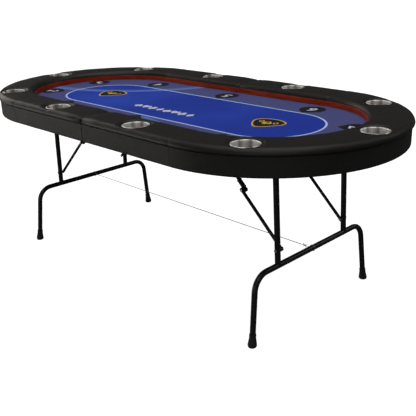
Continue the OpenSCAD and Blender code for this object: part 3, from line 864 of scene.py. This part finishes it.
SEATS = [
    (-0.48, -0.288), (-0.785, -0.142), (-0.785, 0.142), (-0.48, 0.288), (0.0, 0.288),
    (0.48, 0.288), (0.785, 0.142), (0.785, -0.142), (0.48, -0.288), (0.0, -0.288),
]
MEDALLION_X = 0.483
PIP_ROW_AT = (0.0, -0.095)
PIP_H = 48 * MM
PIP_PITCH = 46 * MM
PIP_COUNT = 8
SEAT_R, SEAT_TIP = 55 * MM, 70 * MM
NUMERAL_SIZE = 74 * MM
SMALL_PIP_OUT, SMALL_PIP_UP = 34 * MM, 10 * MM


def inward_turn(at):
    """The turn that points -Y from a seat's mark to the middle line."""
    x, y = at
    past = max(abs(x) - STRAIGHT, 0) * math.copysign(1, x)
    return math.atan2(-y, -past) + math.pi / 2


def draw_print(black, white, gold):
    """Seat marks with their numbers, the two medallions and the row of suits."""
    for number, at in enumerate(SEATS, 1):
        turn = inward_turn(at)
        mark(black, [drop_outline(SEAT_R, SEAT_TIP)], at, turn, 0)
        numeral(white, str(number), NUMERAL_SIZE, at, turn + math.pi, 1)
    for x in (-MEDALLION_X, MEDALLION_X):
        mark(gold, [shield_outline(142 * MM, 142 * MM)], (x, -5 * MM), 0, 0)
        mark(black, [shield_outline(128 * MM, 126 * MM)], (x, -4 * MM), 0, 1)
        mark(gold, pip("spade", 50 * MM), (x, 2 * MM), 0, 2)
        for side in (-1, 1):
            beside = (x + side * SMALL_PIP_OUT, SMALL_PIP_UP)
            mark(gold, pip("diamond", 34 * MM), beside, 0, 2)
            mark(black, pip("diamond", 18 * MM), beside, 0, 4)
        mark(black, pip("diamond", 22 * MM), (x, 6 * MM), 0, 4)
    kinds = ["spade", "heart", "club", "diamond"]
    for k in range(PIP_COUNT):
        at = (PIP_ROW_AT[0] + (k - (PIP_COUNT - 1) / 2) * PIP_PITCH, PIP_ROW_AT[1])
        mark(white, pip(kinds[k % len(kinds)], PIP_H), at, 0, 0)


def make_print():
    """The print's three inks, each cut at the centre seam into a left and a right piece."""
    inks = {"black": INK_BLACK, "white": INK_WHITE, "gold": INK_GOLD}
    inks = {name: (bmesh.new(), material) for name, material in inks.items()}
    draw_print(*(bm for bm, _ in inks.values()))
    for name, (bm, material) in inks.items():
        bmesh.ops.triangulate(bm, faces=bm.faces)
        for side_name, side in SIDES.items():
            half = bm.copy()
            geometry = half.verts[:] + half.edges[:] + half.faces[:]
            cut = (side * (SEAM + 0.2 * MM), 0, 0)
            bmesh.ops.bisect_plane(
                half, geom=geometry, plane_co=cut, plane_no=(side, 0, 0), clear_inner=True
            )
            for face in half.faces:
                if face.normal.z < 0:
                    face.normal_flip()
            mesh = bpy.data.meshes.new(f"print_{name}_{side_name}")
            half.to_mesh(mesh)
            half.free()
            mesh.materials.append(material)
            piece = bpy.data.objects.new(mesh.name, mesh)
            bpy.context.scene.collection.objects.link(piece)
            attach(piece, "half_" + side_name)
        bm.free()


# Wire rope and its fittings
cable_low, cable_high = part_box("tie_cable")
CABLE_Z = (cable_low.z + cable_high.z) / 2
CABLE_D = cable_high.z - cable_low.z
CABLE_FROM = cable_low.x
CABLE_TO = cable_high.x
FITTINGS_LOW, FITTINGS_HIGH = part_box("cable_fittings")
CABLE_BLEND = 300 * MM
CABLE_STATIONS = 81
HOOK_LEAN = 38
HOOK_ARM = 9.5 * MM


def tube_along(name, route, radii, material, sides=12, twist=0.0):
    """A closed tube along a route, with a radius for each point of it."""
    route = [Vector(p) for p in route]
    vertices, faces = [], []
    up = Vector((0, 0, 1))
    for i, p in enumerate(route):
        along = (route[min(i + 1, len(route) - 1)] - route[max(i - 1, 0)]).normalized()
        if abs(along.dot(up)) > 0.95:
            up = Vector((0, 1, 0))
        across = along.cross(up).normalized()
        over = across.cross(along)
        for k in range(sides):
            a = 2 * math.pi * k / sides + twist * i
            vertices.append(p + radii[i] * (math.cos(a) * across + math.sin(a) * over))
    for i in range(len(route) - 1):
        for k in range(sides):
            m = (k + 1) % sides
            faces.append((i * sides + k, i * sides + m, (i + 1) * sides + m, (i + 1) * sides + k))
    faces.append(tuple(range(sides))[::-1])
    faces.append(tuple((len(route) - 1) * sides + k for k in range(sides)))
    piece = new_piece(name, vertices, faces, material)
    edit(piece, lambda bm: bmesh.ops.recalc_face_normals(bm, faces=bm.faces))
    return piece


def straight_route(a, b, count):
    """Evenly spaced points along the cable's line, from x = a to x = b."""
    return [(a + (b - a) * k / (count - 1), 0, CABLE_Z) for k in range(count)]


def make_cable():
    """The rope in three stretches, so that each crosses one joint."""
    left_to = CABLE_FROM + CABLE_BLEND
    right_from = CABLE_TO - CABLE_BLEND
    stretches = [
        ("cable_left", CABLE_FROM, left_to, "leg_left", "half_left", FITTINGS_LOW.x, left_to),
        ("cable_middle", left_to, right_from, "half_left", "half_right", left_to, right_from),
        ("cable_right", right_from, CABLE_TO, "half_right", "leg_right", right_from, FITTINGS_HIGH.x),
    ]
    for name, a, b, body_a, body_b, start, end in stretches:
        route = straight_route(a, b, CABLE_STATIONS)
        piece = tube_along(name, route, [CABLE_D / 2] * CABLE_STATIONS, WIRE_ROPE)
        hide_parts("tie_cable")
        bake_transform(piece)


def make_cable_fittings():
    """The crimped ferrule at the left end, and the shank and crossed hook at the right end."""
    steel = MATERIALS["cable_steel"]
    inner, outer = FITTINGS_LOW.x, CABLE_FROM
    shares = [0, 0.08, 0.2, 0.24, 0.3, 0.36, 0.5, 0.56, 0.62, 0.75, 0.8, 0.86, 0.94, 1]
    swell = [1.6, 2.5, 2.6, 2.3, 2.6, 2.6, 2.6, 2.3, 2.6, 2.6, 2.3, 2.6, 2.4, 1.5]
    route = [(inner + (outer - inner) * t, 0, CABLE_Z) for t in shares]
    ferrule = tube_along("cable_ferrule", route, [w * MM for w in swell], steel, 20)
    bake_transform(ferrule)
    reach = FITTINGS_HIGH.x
    hook_at = reach - (reach - CABLE_TO) * 0.55
    shank = tube_along("cable_shank", straight_route(CABLE_TO, reach, 24), [1.0 * MM] * 24, steel)
    arms = []
    for lean in (-HOOK_LEAN, HOOK_LEAN):
        a = math.radians(lean)
        steps = [t * HOOK_ARM for t in np.linspace(-1, 1, 9)]
        route = [(hook_at + t * math.cos(a), 0, CABLE_Z + t * math.sin(a)) for t in steps]
        arms.append(tube_along("cable_hook", route, [1.3 * MM] * 9, steel))
    arms[0].name, arms[1].name = "cable_hook_a", "cable_hook_b"
    for piece in [shank] + arms:
        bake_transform(piece)
    for piece in [ferrule, shank] + arms:
        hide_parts("cable_fittings")


# Floor and light
def make_floor():
    """A pale floor that takes shadows and doesn't light the table."""
    s = Shader("studio_floor", 0.9, specular=0.0)
    s.colour(s.mix(s.noise(1.5, 2), srgb(150, 150, 150), srgb(156, 156, 156)))
    s.bump(s.noise(60, 3), 0.1 * MM, 0.2)
    s.set(s.bsdf, "Emission Color", (1, 1, 1, 1))
    s.set(s.bsdf, "Emission Strength", 0.96)
    reach = 30
    corners = [(-reach, -reach, 0), (reach, -reach, 0), (reach, reach, 0), (-reach, reach, 0)]
    floor = new_piece("studio_floor", corners, [(0, 1, 2, 3)], s.material)
    floor.visible_glossy = False
    floor.visible_diffuse = False


# Studio panels round the table: middle azimuth, half width, lowest and highest elevation
# in degrees, brightness and colour. The side behind the table stays dim.
PANELS = [
    (216, 20, -14, 10, 2.4, (1.0, 0.97, 0.93)),
    (300, 14, -10, 30, 1.0, (1.0, 0.98, 0.95)),
    (318, 24, 38, 60, 1.8, (1.0, 0.98, 0.95)),
    (62, 9, 20, 50, 1.6, (1.0, 0.97, 0.94)),
    (176, 14, 2, 34, 2.0, (1.0, 0.9, 0.82)),
]
AMBIENT = (0.07, 0.07, 0.07)
OVERHEAD_FROM, OVERHEAD_SOFT, OVERHEAD_POWER = 0.87, 0.06, 2.0
PAST_THE_TOP = 2.0


def make_light():
    """A plain white backdrop, and the soft light of an overhead bank and upright panels."""
    world = bpy.data.worlds.new("studio")
    bpy.context.scene.world = world
    world.use_nodes = True
    tree = world.node_tree
    tree.nodes.clear()

    def node(kind, sockets=(), **settings):
        return add_node(tree, kind, sockets, **settings)

    def band(value, low, high, soft):
        """1 between low and high, with soft edges."""
        rise = {"Value": value, "From Min": low - soft, "From Max": low + soft}
        fall = {"Value": value, "From Min": high - soft, "From Max": high + soft}
        fall.update({"To Min": 1.0, "To Max": 0.0})
        ends = [node("MapRange", e, interpolation_type="SMOOTHSTEP").outputs[0] for e in (rise, fall)]
        return node("Math", {0: ends[0], 1: ends[1]}, operation="MULTIPLY").outputs[0]

    ways = node("SeparateXYZ", {0: node("TexCoord").outputs["Generated"]})
    azimuth = node("Math", {0: ways.outputs[1], 1: ways.outputs[0]}, operation="ARCTAN2").outputs[0]
    total = None
    overhead = band(ways.outputs[2], OVERHEAD_FROM, PAST_THE_TOP, OVERHEAD_SOFT)
    lit = [(overhead, OVERHEAD_POWER, (1.0, 1.0, 1.0))]
    for middle, half, low, high, power, colour in PANELS:
        at = math.radians((middle + 180) % 360 - 180)
        off = node("Math", {0: azimuth, 1: at}, operation="SUBTRACT").outputs[0]
        round_off = node("Math", {0: off, 1: math.pi, 2: -math.pi}, operation="WRAP").outputs[0]
        wide = band(round_off, -math.radians(half), math.radians(half), math.radians(2.5))
        tall = band(ways.outputs[2], math.sin(math.radians(low)), math.sin(math.radians(high)), 0.04)
        share = node("Math", {0: wide, 1: tall}, operation="MULTIPLY").outputs[0]
        lit.append((share, power, colour))
    for share, power, colour in lit:
        tint = tuple(power * c for c in colour)
        light = node("VectorMath", {0: tint, 3: share}, operation="SCALE").outputs[0]
        base = total or AMBIENT
        total = node("VectorMath", {0: base, 1: light}, operation="ADD").outputs[0]
    studio = node("Background", {"Color": total, "Strength": 1.0})
    white = node("Background", {"Color": (1, 1, 1, 1), "Strength": 1.0})
    seen = node("LightPath").outputs["Is Camera Ray"]
    both = node("MixShader", {0: seen, 1: studio.outputs[0], 2: white.outputs[0]})
    node("OutputWorld", {"Surface": both.outputs[0]})


def main():
    bpy.context.scene.view_settings.view_transform = "Standard"
    make_camera()
    make_cable()
    make_cable_fittings()
    finish_cad_nodes()
    for name, side in SIDES.items():
        body = "half_" + name
        plain = [
            (make_rail_pad, "rail_pad", "rail_vinyl"),
            (make_apron, "apron", "apron_vinyl"),
            (make_piping, "rail_piping", "apron_vinyl"),
            (make_race_band, "race_band", "race_band_wood"),
            (make_cloth, "playing_cloth", "playing_cloth"),
            (make_cups, "cup_holders", "cup_steel"),
        ]
        for make, node, slot in plain:
            piece = make()
            piece.name = f"{node}_looks_{name}"
            settle(piece, side, body, [f"{node}_{name}"])
    make_print()
    make_floor()
    make_light()


main()
